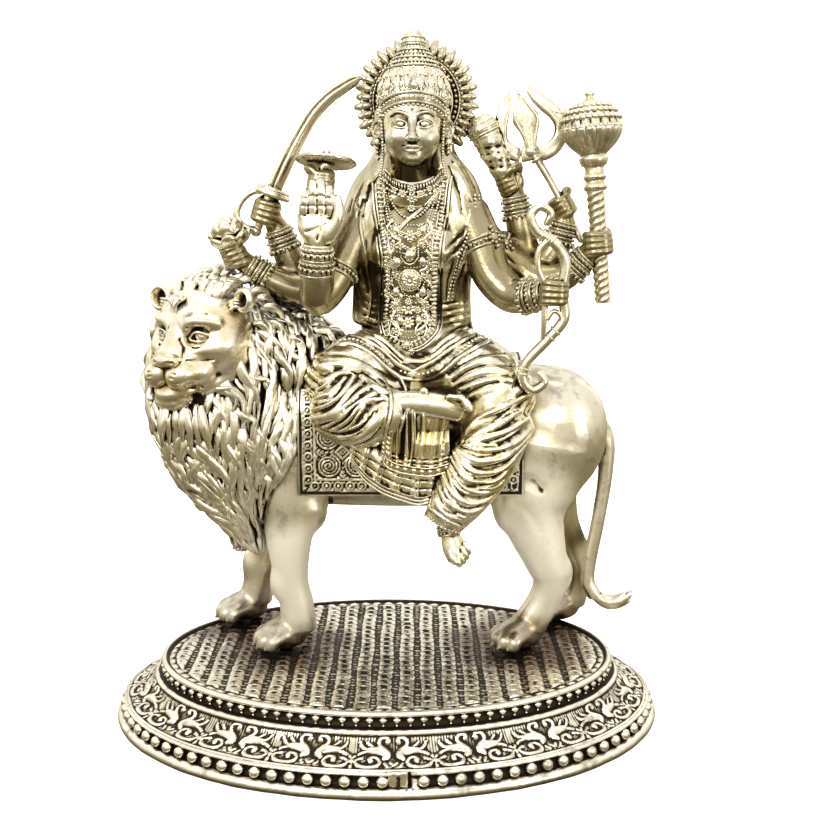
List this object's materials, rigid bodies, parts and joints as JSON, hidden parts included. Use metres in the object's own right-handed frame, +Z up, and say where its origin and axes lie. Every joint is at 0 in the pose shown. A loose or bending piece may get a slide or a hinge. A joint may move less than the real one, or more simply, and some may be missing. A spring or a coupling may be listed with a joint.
{
  "type": "durga figure",
  "caption": "Cast brass goddess with many arms riding side-saddle on a standing lion, on an oval plinth with beads and scrolls.",
  "frame": {"origin": "middle of the plinth's underside", "axes": "+Z up, +X along the plinth's long axis towards the lion's tail, -Y towards the viewer that the goddess faces"},
  "size_m": [0.2184, 0.1528, 0.2659],
  "materials": {
    "plinth_brass": "antique, dark in the recesses",
    "lion_brass": "antique, polished on the high surfaces",
    "goddess_brass": "antique, dark in the recesses"
  },
  "bodies": {
    "root": {"plinth": "plinth_brass", "lion": "lion_brass", "goddess": "goddess_brass"}
  },
  "joints": []
}
